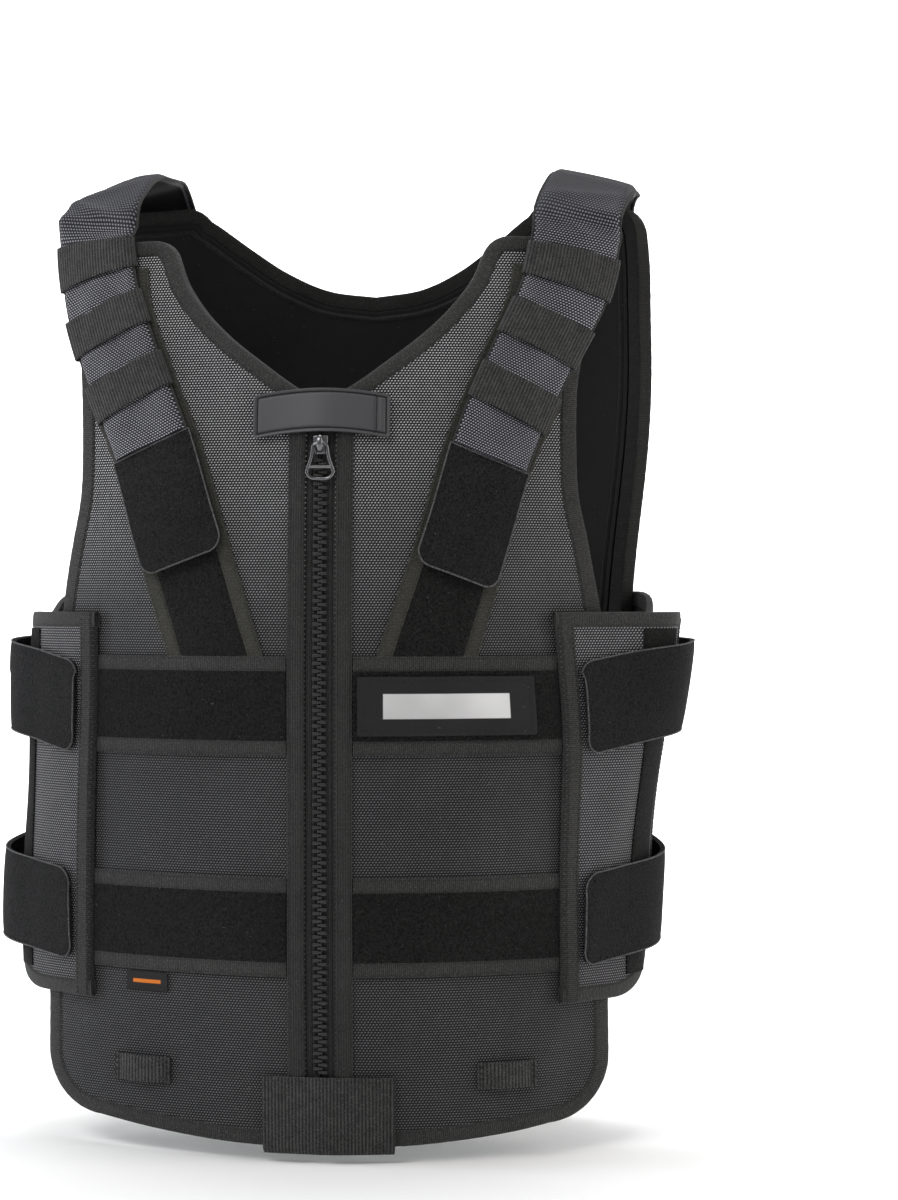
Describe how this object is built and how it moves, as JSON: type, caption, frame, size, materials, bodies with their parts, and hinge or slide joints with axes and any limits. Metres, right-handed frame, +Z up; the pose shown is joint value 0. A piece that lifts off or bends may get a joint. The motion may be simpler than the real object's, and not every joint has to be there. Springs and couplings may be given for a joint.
{
  "type": "stab vest",
  "caption": "Padded stab vest with a front zip, hook-and-loop shoulder and side straps, loop bands and a back patch, shaped as worn.",
  "frame": {"origin": "middle of the line between the tops of the two shoulder straps, where the wearer's shoulders carry the vest", "axes": "+Z up along the body, -Y out of the vest's front, +X towards the wearer's left, which is the viewer's right"},
  "size_m": [0.4752, 0.2429, 0.6499],
  "materials": {
    "panel_cloth": "charcoal woven cloth over padding",
    "edge_tape": "folded binding tape",
    "webbing": "ribbed black webbing",
    "loop_tape": "fuzzy loop tape",
    "hook_tape": "fuzzy hook tape",
    "lining": "smooth black lining",
    "zip_teeth": "moulded black plastic",
    "black_metal": "glossy black coating",
    "tab_leather": "smooth dark grey leather",
    "patch_cloth": "flat black patch cloth"
  },
  "bodies": {
    "vest": {"back_edge_tape": "edge_tape", "back_lining": "lining", "back_panel": "panel_cloth", "back_patch": "patch_cloth", "back_webbing_left": "webbing", "back_webbing_right": "webbing", "back_wing_left": "panel_cloth", "back_wing_right": "panel_cloth", "belt_loop_left": "webbing", "belt_loop_right": "webbing", "chest_band_left": "loop_tape", "chest_band_right": "loop_tape", "diagonal_strip_left": "loop_tape", "diagonal_strip_right": "loop_tape", "front_edge_tape_left": "edge_tape", "front_edge_tape_right": "edge_tape", "front_panel_left": "panel_cloth", "front_panel_right": "panel_cloth", "front_wing_left": "panel_cloth", "front_wing_right": "panel_cloth", "hem_tab": "webbing", "name_patch": "patch_cloth", "neck_tab": "tab_leather", "seam_strip_left": "edge_tape", "seam_strip_right": "edge_tape", "shoulder_strap_left": "panel_cloth", "shoulder_strap_right": "panel_cloth", "side_anchor_lower_left": "webbing", "side_anchor_lower_right": "webbing", "side_anchor_upper_left": "webbing", "side_anchor_upper_right": "webbing", "side_strap_lower_left": "hook_tape", "side_strap_lower_right": "hook_tape", "side_strap_upper_left": "hook_tape", "side_strap_upper_right": "hook_tape", "strap_anchor_left": "webbing", "strap_anchor_right": "webbing", "strap_loop_1_left": "webbing", "strap_loop_1_right": "webbing", "strap_loop_2_left": "webbing", "strap_loop_2_right": "webbing", "strap_loop_3_left": "webbing", "strap_loop_3_right": "webbing", "strap_tab_left": "hook_tape", "strap_tab_right": "hook_tape", "waist_band_left": "loop_tape", "waist_band_right": "loop_tape", "wing_loop_strip_left": "loop_tape", "wing_loop_strip_right": "loop_tape", "woven_label": "patch_cloth", "zip_facing_left": "webbing", "zip_facing_right": "webbing", "zip_slider": "black_metal", "zip_tape_left": "webbing", "zip_tape_right": "webbing", "zip_teeth": "zip_teeth"},
    "zip_pull": {"zip_pull": "black_metal"}
  },
  "joints": [
    {"name": "zip_pull_swing", "type": "hinge", "parent": "vest", "child": "zip_pull", "pos_m": [0, -0.11605, -0.1897], "axis": [-1, 0, 0], "range_deg": [0, 100]}
  ]
}
